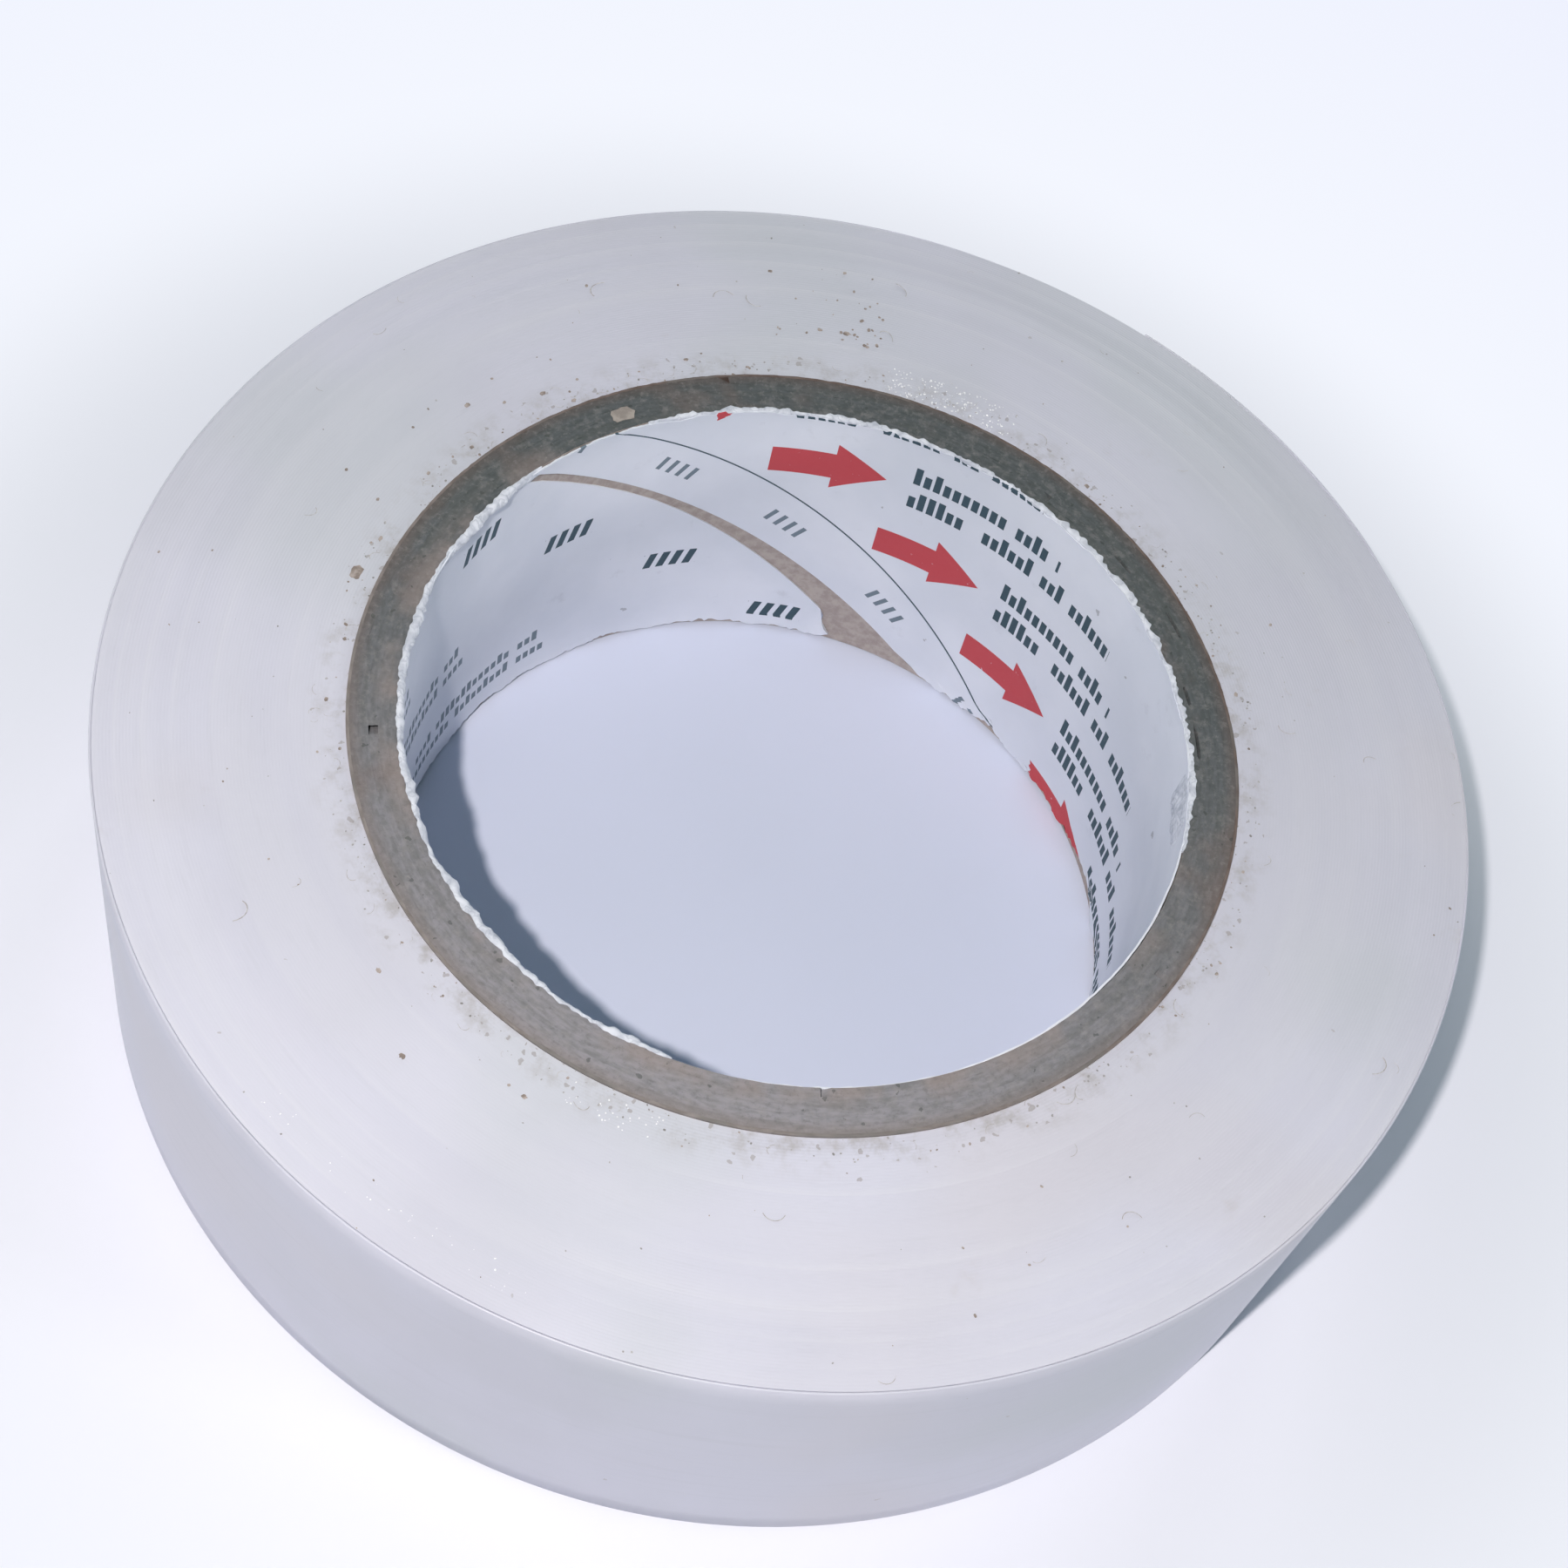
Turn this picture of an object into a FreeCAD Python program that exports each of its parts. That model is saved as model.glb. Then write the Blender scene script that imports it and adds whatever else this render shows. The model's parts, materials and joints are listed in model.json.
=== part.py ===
"""Electrical tape roll: a spiral-wound paper core carrying a wound vinyl strip.

The roll lies flat. Its axis is +Z, the origin is on that axis at the bottom face,
and every size is in millimetres and every angle in degrees.
"""

import FreeCAD
import Part
import math
import os

# Vinyl strip: its bands of turns sit at slightly different heights above the bottom face
TAPE_WIDTH = 18.85
TAPE_THICKNESS = 0.15
TURNS_PER_BAND = (18, 23, 12, 9, 8, 6)
BAND_LIFTS = (0.0, 0.06, 0.13, 0.05, 0.15, 0.09)
LAST_TURN_LIFT = 0.04

# Core tube, cut flush with the lowest and the highest band
CORE_LENGTH = TAPE_WIDTH + max(BAND_LIFTS)
BORE_RADIUS = 19.05
LINER_THICKNESS = 0.10
BOARD_PLY_THICKNESS = 0.44
BOARD_PLY_NAMES = ("inner", "second", "middle", "fourth", "outer")
COVER_PLY_THICKNESS = 0.15

# Helical butt seams of the core plies, all wound at one pitch
SEAM_TURN_PER_MM = 4.0
LINER_SEAM_FOOT_ANGLE = 73.0
LINER_SEAM_GAP = 0.55
LINER_TEAR_GAP = 3.4
LINER_TEAR_HEIGHT = 2.3
LINER_TAPER_GAP = 1.85
LINER_TAPER_HEIGHT = 8.0
BOARD_SEAM_GAP = 0.30
BOARD_SEAM_STAGGER = 137.0

# Free end of the strip, in hinged lengths that lie on the turn below
PEEL_ANGLE = 40.0
END_SEGMENT_NAMES = ("root", "middle", "tip")
END_SEGMENT_LENGTH = 5.5
END_SEGMENT_GAP = 0.05
END_LIFT_OFF = 0.08
BARE_LENGTH = 2.0

# Cutters run past what they cut by this much
OVERCUT = 0.5
OFFSET_TOLERANCE = 0.001

CORE_OUTER_RADIUS = (
    BORE_RADIUS
    + LINER_THICKNESS
    + len(BOARD_PLY_NAMES) * BOARD_PLY_THICKNESS
    + COVER_PLY_THICKNESS
)
WINDING_RADIUS = CORE_OUTER_RADIUS + sum(TURNS_PER_BAND) * TAPE_THICKNESS


def arc_angle(length, radius):
    """The angle that an arc of this length spans."""
    return math.degrees(length / radius)


def ring(inner, outer, bottom, height):
    """A plain tube about the axis."""
    base = FreeCAD.Vector(0, 0, bottom)
    return Part.makeCylinder(outer, height, base).cut(Part.makeCylinder(inner, height, base))


def ring_sector(inner, outer, bottom, height, start, end):
    """The stretch of a tube between two angles."""
    base = FreeCAD.Vector(0, 0, bottom)
    up = FreeCAD.Vector(0, 0, 1)
    span = end - start
    sector = Part.makeCylinder(outer, height, base, up, span)
    sector = sector.cut(Part.makeCylinder(inner, height, base))
    sector.rotate(FreeCAD.Vector(0, 0, 0), up, start)
    return sector


def wall_cutter(inner, outer, corners):
    """A cutter through the wall between two radii, over a region given as (angle, height) corners."""
    surface = Part.Cylinder()
    surface.Radius = inner - OVERCUT
    edges = []
    for first, second in zip(corners, corners[1:] + corners[:1]):
        start = FreeCAD.Base.Vector2d(math.radians(first[0]), first[1])
        end = FreeCAD.Base.Vector2d(math.radians(second[0]), second[1])
        edges.append(Part.Geom2d.Line2dSegment(start, end).toShape(surface))
    face = Part.Face(surface, Part.Wire(edges))
    depth = outer - inner + 2 * OVERCUT
    return face.makeOffsetShape(depth, OFFSET_TOLERANCE, fill=True)


def seam_angle(foot_angle, height):
    """Where a ply's seam has turned to at a height."""
    return foot_angle + SEAM_TURN_PER_MM * height


def gap_angle(gap, radius):
    """The angle across a helical gap of this width, measured at one height."""
    lead = math.radians(SEAM_TURN_PER_MM) * radius
    return arc_angle(gap * math.hypot(1, lead), radius)


def seam_cutter(inner, outer, foot_angle, profile):
    """A cutter along a seam: profile lists the gap's (height, width) from the top down."""
    heights = [height for height, width in profile]
    straight_side = [(seam_angle(foot_angle, z), z) for z in (heights[-1], heights[0])]
    wide_side = [
        (seam_angle(foot_angle, z) + gap_angle(width, inner), z) for z, width in profile
    ]
    return wall_cutter(inner, outer, straight_side + wide_side)


def paper_liner():
    """The thin white inner ply, whose seam gap opens into a torn corner at the bottom."""
    outer = BORE_RADIUS + LINER_THICKNESS
    profile = [
        (CORE_LENGTH + OVERCUT, LINER_SEAM_GAP),
        (LINER_TAPER_HEIGHT, LINER_SEAM_GAP),
        (LINER_TEAR_HEIGHT, LINER_TAPER_GAP),
        (-OVERCUT, LINER_TEAR_GAP),
    ]
    cutter = seam_cutter(BORE_RADIUS, outer, LINER_SEAM_FOOT_ANGLE, profile)
    return ring(BORE_RADIUS, outer, 0, CORE_LENGTH).cut(cutter)


def board_ply(inner, foot_angle):
    """One ply of grey board with its open butt seam."""
    outer = inner + BOARD_PLY_THICKNESS
    profile = [(CORE_LENGTH + OVERCUT, BOARD_SEAM_GAP), (-OVERCUT, BOARD_SEAM_GAP)]
    cutter = seam_cutter(inner, outer, foot_angle, profile)
    return ring(inner, outer, 0, CORE_LENGTH).cut(cutter)


def core():
    """The liner, the board plies and the brown cover ply, from the bore outwards."""
    pieces = {"paper_liner": paper_liner()}
    radius = BORE_RADIUS + LINER_THICKNESS
    foot_angle = LINER_SEAM_FOOT_ANGLE
    for name in BOARD_PLY_NAMES:
        foot_angle += BOARD_SEAM_STAGGER
        pieces[f"core_ply_{name}"] = board_ply(radius, foot_angle)
        radius += BOARD_PLY_THICKNESS
    pieces["core_cover_paper"] = ring(radius, CORE_OUTER_RADIUS, 0, CORE_LENGTH)
    return pieces


def winding():
    """The wound strip, as one ring for each band of turns that sits at its own height."""
    pieces = {}
    radius = CORE_OUTER_RADIUS
    for number, (turns, lift) in enumerate(zip(TURNS_PER_BAND, BAND_LIFTS), start=1):
        outer = radius + turns * TAPE_THICKNESS
        pieces[f"tape_turns_{number}"] = ring(radius, outer, lift, TAPE_WIDTH)
        radius = outer
    return pieces


def last_turn_and_end():
    """The outermost turn and, past the peel line, the free end that lies on the turn below."""
    end_inner = WINDING_RADIUS + END_LIFT_OFF
    end_outer = end_inner + TAPE_THICKNESS
    gap = arc_angle(END_SEGMENT_GAP, end_outer)
    pieces = {}
    angle = PEEL_ANGLE
    for name in END_SEGMENT_NAMES:
        stop = angle + arc_angle(END_SEGMENT_LENGTH, end_outer)
        pieces[f"tape_end_{name}"] = ring_sector(
            end_inner, end_outer, LAST_TURN_LIFT, TAPE_WIDTH, angle, stop
        )
        print(f"hinge of tape_end_{name}: {hinge_point(end_outer, angle)}")
        angle = stop + gap
    turn_start = stop + arc_angle(BARE_LENGTH, end_outer)
    turn_end = PEEL_ANGLE + 360 - gap
    turn_outer = WINDING_RADIUS + TAPE_THICKNESS
    pieces["tape_last_turn"] = ring_sector(
        WINDING_RADIUS, turn_outer, LAST_TURN_LIFT, TAPE_WIDTH, turn_start, turn_end
    )
    return pieces


def hinge_point(radius, angle):
    """The point where the outside of the strip bends, rounded for printing."""
    turn = math.radians(angle)
    return round(radius * math.cos(turn), 4), round(radius * math.sin(turn), 4), 0.0


def main():
    os.makedirs("parts", exist_ok=True)
    pieces = {**core(), **winding(), **last_turn_and_end()}
    for name, shape in pieces.items():
        shape.exportStep(f"parts/{name}.step")
        print(f"{name}: {len(shape.Solids)} solid, {shape.Volume:.2f} cubic mm")
    print(f"winding radius {WINDING_RADIUS:.3f}, core outer radius {CORE_OUTER_RADIUS:.3f}")


main()
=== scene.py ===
"""The looks of a roll of white electrical tape: wound vinyl, a torn paper liner and a grey board core.

Lengths are in metres, written as millimetres times MM. The roll's axis is +Z and its bottom face is z = 0.
Colours are display values from 0 to 255.
"""

import json
from math import atan2, cos, exp, hypot, pi, radians, sin

import bmesh
import bpy
import numpy as np
from mathutils import Euler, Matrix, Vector, noise


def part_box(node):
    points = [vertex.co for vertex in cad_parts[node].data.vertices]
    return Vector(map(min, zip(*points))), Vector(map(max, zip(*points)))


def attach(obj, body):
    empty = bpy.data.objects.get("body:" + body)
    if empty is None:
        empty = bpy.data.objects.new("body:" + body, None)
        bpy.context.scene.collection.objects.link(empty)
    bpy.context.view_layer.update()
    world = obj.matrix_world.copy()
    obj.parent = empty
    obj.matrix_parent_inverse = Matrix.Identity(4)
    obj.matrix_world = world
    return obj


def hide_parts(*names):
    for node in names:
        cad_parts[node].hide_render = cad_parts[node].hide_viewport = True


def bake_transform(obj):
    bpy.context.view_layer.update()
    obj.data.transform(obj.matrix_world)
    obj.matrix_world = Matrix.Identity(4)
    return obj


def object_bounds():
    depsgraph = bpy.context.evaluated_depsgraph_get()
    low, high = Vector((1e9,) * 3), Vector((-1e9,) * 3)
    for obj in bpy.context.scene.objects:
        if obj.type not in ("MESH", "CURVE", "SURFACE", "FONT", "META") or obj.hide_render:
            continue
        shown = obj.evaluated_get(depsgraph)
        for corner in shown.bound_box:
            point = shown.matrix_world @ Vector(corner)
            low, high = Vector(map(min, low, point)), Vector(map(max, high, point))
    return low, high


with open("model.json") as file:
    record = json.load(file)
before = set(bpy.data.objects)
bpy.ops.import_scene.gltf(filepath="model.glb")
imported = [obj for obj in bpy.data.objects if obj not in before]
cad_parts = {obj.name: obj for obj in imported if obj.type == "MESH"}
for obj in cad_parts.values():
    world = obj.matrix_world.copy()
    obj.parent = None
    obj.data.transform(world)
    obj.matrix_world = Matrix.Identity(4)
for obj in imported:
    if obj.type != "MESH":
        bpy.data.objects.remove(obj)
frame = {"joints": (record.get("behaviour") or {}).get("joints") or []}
CAD_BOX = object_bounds()

MM = 0.001
TURN = 2 * pi

# ---- sizes


def node_radius(node):
    """The outside radius of a round CAD node."""
    low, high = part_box(node)
    return max(high.x, -low.x, high.y, -low.y)


TOP = CAD_BOX[1].z
PLY_NODES = [f"core_ply_{place}" for place in ("inner", "second", "middle", "fourth", "outer")]
BAND_NODES = [f"tape_turns_{number}" for number in range(1, 7)]
TURNS_PER_BAND = [18, 23, 12, 9, 8, 6]
LINER_OUTER = node_radius("paper_liner")
LINER_THICKNESS = 0.10 * MM
BORE_RADIUS = LINER_OUTER - LINER_THICKNESS
CORE_RADIUS = node_radius("core_cover_paper")
WINDING_RADIUS = node_radius(BAND_NODES[-1])
TAPE_THICKNESS = 0.15 * MM
STRIP_THICKNESS = TAPE_THICKNESS - 0.012 * MM

# How far each end face stays below the CAD's
SHY = 0.04 * MM

# The plies are wound as helices: every seam turns at this rate as it climbs
SEAM_TURN_PER_M = radians(4.0) / MM
SEAM_FOOT = radians(73.0)
LEAD = SEAM_TURN_PER_M * BORE_RADIUS
STRIP_ALONG_X = LEAD / hypot(1, LEAD)
STRIP_ALONG_Z = 1 / hypot(1, LEAD)


def seam_angle(foot, z):
    """Where a ply's seam has turned to at a height."""
    return foot + SEAM_TURN_PER_M * z


def polar(radius, angle, z):
    """A point given by its distance from the axis, its angle round it and its height."""
    return (radius * cos(angle), radius * sin(angle), z)


# ---- node graphs


def rgb(red, green, blue):
    """A colour in Blender's linear values."""

    def linear(value):
        share = value / 255
        return share / 12.92 if share <= 0.04045 else ((share + 0.055) / 1.055) ** 2.4

    return (linear(red), linear(green), linear(blue), 1.0)


class Wire:
    """An output of a node, which can be used in sums as a number is."""

    def __init__(self, graph, socket):
        self.graph = graph
        self.socket = socket

    def math(self, operation, *values):
        return self.graph.math(operation, self, *values)

    def __add__(self, other):
        return self.math("ADD", other)

    def __sub__(self, other):
        return self.math("SUBTRACT", other)

    def __rsub__(self, other):
        return self.graph.math("SUBTRACT", other, self)

    def __mul__(self, other):
        return self.math("MULTIPLY", other)

    def __truediv__(self, other):
        return self.math("DIVIDE", other)

    def __abs__(self):
        return self.math("ABSOLUTE")

    __radd__ = __add__
    __rmul__ = __mul__

    def within(self, low, high):
        """1 between low and high, 0 elsewhere."""
        return self.math("GREATER_THAN", low) * self.math("LESS_THAN", high)


class Graph:
    """Adds nodes to a tree, with each input given as a value or as a wire from another node."""

    def __init__(self, tree):
        self.tree = tree

    def node(self, kind, inputs=None, **settings):
        made = self.tree.nodes.new(kind)
        for name, value in settings.items():
            setattr(made, name, value)
        for name, value in (inputs or {}).items():
            self.feed(made.inputs[name], value)
        return made

    def feed(self, socket, value):
        if isinstance(value, Wire):
            self.tree.links.new(value.socket, socket)
        else:
            socket.default_value = value

    def wire(self, kind, inputs=None, output=0, **settings):
        return Wire(self, self.node(kind, inputs, **settings).outputs[output])

    def wires(self, node):
        """All of a node's outputs by name."""
        return {socket.name: Wire(self, socket) for socket in node.outputs}

    def math(self, operation, *values):
        return self.wire("ShaderNodeMath", dict(enumerate(values)), operation=operation)

    def vector_math(self, operation, *values):
        output = "Value" if operation == "LENGTH" else "Vector"
        return self.wire("ShaderNodeVectorMath", dict(enumerate(values)), output, operation=operation)

    def scaled(self, vector, factor):
        return self.wire("ShaderNodeVectorMath", {0: vector, "Scale": factor}, operation="SCALE")

    def smooth(self, value, low, high):
        """0 at low, 1 at high, smooth between and level beyond."""
        inputs = {"Value": value, "From Min": low, "From Max": high}
        return self.wire("ShaderNodeMapRange", inputs, "Result", interpolation_type="SMOOTHSTEP")

    def mix_color(self, factor, *colors):
        """Goes from the first colour to the second, each a wire or three display values."""
        made = self.node("ShaderNodeMix", {"Factor": factor}, data_type="RGBA")
        for socket, color in zip((s for s in made.inputs if s.type == "RGBA"), colors):
            self.feed(socket, rgb(*color) if isinstance(color, tuple) else color)
        return Wire(self, next(s for s in made.outputs if s.type == "RGBA"))

    def layered(self, tone, *layers):
        """Lays colours over a tone, each given as (mask, strength, colour)."""
        for mask, strength, color in layers:
            tone = self.mix_color(mask * strength, tone, color)
        return tone

    def noise(self, vector, scale, detail=3.0, roughness=0.5):
        inputs = {"Vector": vector, "Scale": scale, "Detail": detail, "Roughness": roughness}
        return self.wire("ShaderNodeTexNoise", inputs)

    def combine(self, x, y, z):
        return self.wire("ShaderNodeCombineXYZ", {"X": x, "Y": y, "Z": z})

    def split(self, vector):
        return self.wires(self.node("ShaderNodeSeparateXYZ", {"Vector": vector})).values()

    def attribute(self, name):
        return self.wire("ShaderNodeAttribute", output="Fac", attribute_name=name)


def new_tree(name, kind, inputs, outputs):
    """An empty group with named sockets. Returns its tree, its graph, its inputs and its output sockets."""
    tree = bpy.data.node_groups.new(name, kind)
    for label, socket_kind in inputs:
        tree.interface.new_socket(label, in_out="INPUT", socket_type=f"NodeSocket{socket_kind}")
    for label, socket_kind in outputs:
        tree.interface.new_socket(label, in_out="OUTPUT", socket_type=f"NodeSocket{socket_kind}")
    g = Graph(tree)
    return tree, g, g.wires(g.node("NodeGroupInput")), g.node("NodeGroupOutput").inputs


def of_kind(kind, *labels):
    return [(label, kind) for label in labels]


def specks_group():
    """Small scattered specks: a mask that is 1 inside each speck."""
    inputs = of_kind("Vector", "Vector") + of_kind("Float", "Scale", "Amount", "Size")
    tree, g, given, end = new_tree("scattered_specks", "ShaderNodeTree", inputs, of_kind("Float", "Mask"))
    warp = g.wire("ShaderNodeTexNoise", {"Vector": given["Vector"], "Scale": 2600.0, "Detail": 2.0}, "Color")
    moved = g.vector_math("ADD", given["Vector"], g.scaled(warp, 0.0005))
    pattern = {"Vector": moved, "Scale": given["Scale"], "Randomness": 1.0}
    cells = g.wires(g.node("ShaderNodeTexVoronoi", pattern, feature="F1"))
    chance, width, _ = g.split(cells["Color"])
    kept = chance.math("LESS_THAN", given["Amount"])
    g.feed(end["Mask"], kept * cells["Distance"].math("LESS_THAN", given["Size"] * width))
    return tree


def rings_group():
    """Streaks that run round the axis: a value about 0.5 that changes mostly with the radius."""
    inputs = of_kind("Vector", "Vector") + of_kind("Float", "Rings", "Along", "Detail")
    outputs = of_kind("Float", "Value", "Radius")
    tree, g, given, end = new_tree("concentric_streaks", "ShaderNodeTree", inputs, outputs)
    x, y, z = g.split(given["Vector"])
    flat = g.combine(x, y, 0.0)
    radius = g.vector_math("LENGTH", flat)
    east, north, _ = g.split(g.vector_math("NORMALIZE", flat))
    wrapped = g.combine(radius * given["Rings"], east * given["Along"], north * given["Along"] + z * 200.0)
    g.feed(end["Value"], g.noise(wrapped, 1.0, given["Detail"]))
    g.feed(end["Radius"], radius)
    return tree


SPECKS = specks_group()
RINGS = rings_group()


def new_material(name):
    """A material with its graph, its Principled node and the object's own coordinates."""
    material = bpy.data.materials.new(name)
    material.use_nodes = True
    material.node_tree.nodes.clear()
    g = Graph(material.node_tree)
    shader = g.node("ShaderNodeBsdfPrincipled")
    output = g.node("ShaderNodeOutputMaterial")
    g.feed(output.inputs["Surface"], Wire(g, shader.outputs[0]))
    return material, g, shader, g.wire("ShaderNodeTexCoord", output="Object")


def specks(g, place, scale, amount, size):
    inputs = {"Vector": place, "Scale": scale, "Amount": amount, "Size": size}
    return g.wire("ShaderNodeGroup", inputs, "Mask", node_tree=SPECKS)


def streaks(g, place, rings, along, detail=3.0):
    inputs = {"Vector": place, "Rings": rings, "Along": along, "Detail": detail}
    return g.wires(g.node("ShaderNodeGroup", inputs, node_tree=RINGS)).values()


def surface(g, shader, tone, roughness, specular, relief=None, strength=0.0, depth=0.0):
    """Sets a finish, with relief as a bump of a depth in millimetres."""
    g.feed(shader.inputs["Base Color"], tone)
    g.feed(shader.inputs["Roughness"], roughness)
    g.feed(shader.inputs["Specular IOR Level"], specular)
    if relief:
        bump = {"Height": relief, "Strength": strength, "Distance": depth * MM}
        g.feed(shader.inputs["Normal"], g.wire("ShaderNodeBump", bump, "Normal"))


# ---- materials


def vinyl_tone(g, place, cloud):
    """Milky white that drifts between lavender, cool and warm."""
    cool = g.noise(g.vector_math("ADD", place, (0.31, 0.07, 0.0)), 48.0, 2.0)
    return g.layered(
        g.mix_color(g.smooth(cloud, 0.38, 0.62), (195, 195, 208), (201, 201, 215)),
        (g.smooth(cool, 0.5, 0.68), 0.6, (190, 194, 201)),
        (g.smooth(cool, 0.48, 0.3), 0.6, (199, 196, 205)),
    )


def vinyl_edge_material():
    """The strip's wound edges: milky white with faint rings, a grey film near the core, dust, and a painted
    highlight along each band's outer edge.
    """
    material, g, shader, place = new_material("milky_vinyl_edges")
    broad, radius = streaks(g, place, 520.0, 0.9, 2.0)
    fine, _ = streaks(g, place, 5200.0, 9.0, 4.0)
    cloud = g.noise(place, 60.0)
    # Painted highlight: a lighter tone along each band's outer edge, where the step's lip would catch the
    # light.
    lip_highlight = g.attribute("lip") * g.smooth(g.noise(place, 55.0, 2.0), 0.42, 0.66)
    near_core = g.smooth(radius, CORE_RADIUS + 2.4 * MM, CORE_RADIUS)
    film = near_core * g.smooth(g.noise(place, 620.0, 6.0, 0.7), 0.46, 0.72)
    grit = specks(g, place, 2300.0, near_core * 0.3, 0.36)
    spots = g.smooth(g.noise(place, 300.0, 4.0, 0.6), 0.66, 0.8)
    dust = specks(g, place, 650.0, 0.05, 0.13)
    tone = g.layered(
        vinyl_tone(g, place, cloud),
        (g.smooth(broad, 0.42, 0.7), 0.22, (206, 206, 215)),
        (g.smooth(fine, 0.52, 0.8), 0.16, (184, 185, 195)),
        (lip_highlight, 0.26, (212, 212, 220)),
        (film, 0.7, (158, 153, 151)),
        (grit, 0.5, (134, 124, 118)),
        (spots, 0.25, (176, 168, 166)),
        (dust, 0.4, (146, 138, 134)),
    )
    relief = fine * 0.5 + g.noise(place, 1500.0) * 0.5
    surface(g, shader, tone, cloud * 0.2 + 0.42, 0.35, relief, strength=0.2, depth=0.02)
    return material


def vinyl_face_material():
    """The outer face of the strip: smooth satin vinyl with faint stretch marks."""
    material, g, shader, place = new_material("satin_vinyl_face")
    x, y, z = g.split(place)
    lines = g.noise(g.combine(x * 0.04, y * 0.04, z), 2400.0)
    cloud = g.noise(place, 90.0)
    tone = g.layered(
        vinyl_tone(g, place, cloud),
        (g.smooth(lines, 0.5, 0.8), 0.22, (183, 184, 194)),
        (specks(g, place, 800.0, 0.03, 0.14), 0.4, (150, 142, 136)),
    )
    relief = lines * 0.5 + g.noise(place, 260.0, 2.0)
    surface(g, shader, tone, cloud * 0.2 + 0.28, 0.45, relief, strength=0.2, depth=0.05)
    return material


def board_material():
    """Grey chipboard: cut ends with fibres that run round the core, with painted shade that darkens them
    towards +Y, and smooth brown-grey walls.
    """
    material, g, shader, place = new_material("grey_chipboard")
    x, y, _ = g.split(place)
    fibres, radius = streaks(g, place, 5200.0, 34.0, 5.0)
    plies, _ = streaks(g, place, 1900.0, 2.2, 2.0)
    mottle = g.noise(place, 1700.0, 4.0, 0.65)
    patches = g.noise(place, 260.0)
    grain = g.noise(place, 3600.0, 3.0, 0.7)
    # Painted shade: the cut end and its outer rim go darker towards +Y, the far side, for how the light falls
    # on the fibres.
    far_side_shade = g.smooth(y, -28 * MM, 10 * MM)
    strands = g.smooth(fibres, 0.3, 0.7)
    near_side_tone = g.mix_color(strands, (133, 131, 135), (150, 147, 154))
    shaded_tone = g.mix_color(strands, (79, 84, 85), (91, 95, 98))
    pink = g.smooth(radius, BORE_RADIUS + 1.5 * MM, BORE_RADIUS + 0.3 * MM) * g.smooth(patches, 0.42, 0.58)
    pink = pink * g.smooth(x * 0.5 + y * 0.87, 12 * MM, -4 * MM)
    rim = g.smooth(radius, CORE_RADIUS - 0.9 * MM, CORE_RADIUS - 0.1 * MM)
    _, _, facing = g.split(g.wire("ShaderNodeNewGeometry", output="True Normal"))
    upright = g.smooth(abs(facing), 0.75, 0.45)
    wall = upright * g.smooth(radius, LINER_OUTER + 0.2 * MM, LINER_OUTER + 0.08 * MM)
    tone = g.layered(
        g.mix_color(far_side_shade, near_side_tone, shaded_tone),
        (g.smooth(plies, 0.52, 0.62), 0.25, (92, 95, 93)),
        (g.smooth(mottle, 0.5, 0.66), 0.22, (150, 146, 146)),
        (pink, 0.6, (144, 133, 130)),
        (g.smooth(patches, 0.55, 0.72), 0.35, (120, 104, 99)),
        (rim, 0.5, g.mix_color(far_side_shade, (134, 124, 121), (100, 86, 81))),
        (g.smooth(grain, 0.52, 0.7), 0.22, (154, 151, 151)),
        (g.smooth(grain, 0.48, 0.3), 0.22, (70, 73, 71)),
        (specks(g, place, 2600.0, 0.14, 0.36), 0.5, (62, 68, 64)),
        (specks(g, place, 1900.0, 0.05, 0.24), 0.25, (170, 163, 160)),
        (wall, 1.0, g.mix_color(g.smooth(mottle, 0.35, 0.65), (158, 147, 143), (176, 166, 161))),
    )
    surface(g, shader, tone, 0.92, 0.15, fibres + mottle * 0.6, strength=0.3, depth=0.05)
    return material


def cover_paper_material():
    """The thin brown kraft ply at the core's outer edge, greyer where it is rubbed, with painted shade that
    darkens it towards +Y.
    """
    material, g, shader, place = new_material("brown_kraft")
    fibres, _ = streaks(g, place, 4200.0, 30.0, 4.0)
    x, y, _ = g.split(place)
    strands = g.smooth(fibres, 0.3, 0.7)
    pale = g.mix_color(strands, (116, 109, 106), (138, 131, 129))
    dark = g.mix_color(strands, (86, 72, 67), (110, 96, 90))
    # Painted shade: pale on the near side and dark towards +Y, as on the board's end.
    tone = g.mix_color(g.smooth(x * 0.45 + y * 0.89, -20 * MM, 16 * MM), pale, dark)
    rubbed = g.smooth(g.noise(place, 320.0), 0.5, 0.62)
    tone = g.layered(tone, (rubbed, 0.6, (112, 110, 108)))
    surface(g, shader, tone, 0.9, 0.5, fibres, strength=0.6, depth=0.08)
    return material


# Print on the liner, in millimetres along and across the strip. Its rows repeat along the strip and lie level
PRINT_PERIOD = 8.23
PRINT_PHASE = 1.0
PRINT_SLANT = atan2(1, LEAD)
STRIP_WIDTH = STRIP_ALONG_Z * BORE_RADIUS / MM * TURN
LINE_ACROSS = 3.1
LINE_BOW = 0.95
LINE_HALF_WIDTH = 0.055


def repeated_rows(along, across, phase, origin):
    """Coordinates (across the row, up the row) in a unit that repeats along the strip."""
    level = cos(PRINT_SLANT)
    climb = sin(PRINT_SLANT)
    s = along - phase
    t = across - origin
    rise = t * level - s * climb
    number = (rise / (-PRINT_PERIOD * climb)).math("ROUND")
    up = rise + number * (PRINT_PERIOD * climb)
    right = (s - number * PRINT_PERIOD) * level + t * climb
    return right, up


def arrow_mask(right, up):
    """A solid arrow that shows which way the strip unwinds."""
    tall = abs(up - 0.25)
    shaft = right.within(-3.1, 0.5) * tall.math("LESS_THAN", 0.98)
    head = right.within(0.3, 3.2) * tall.math("LESS_THAN", (3.2 - right) * 0.62)
    return shaft.math("MAXIMUM", head)


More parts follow.
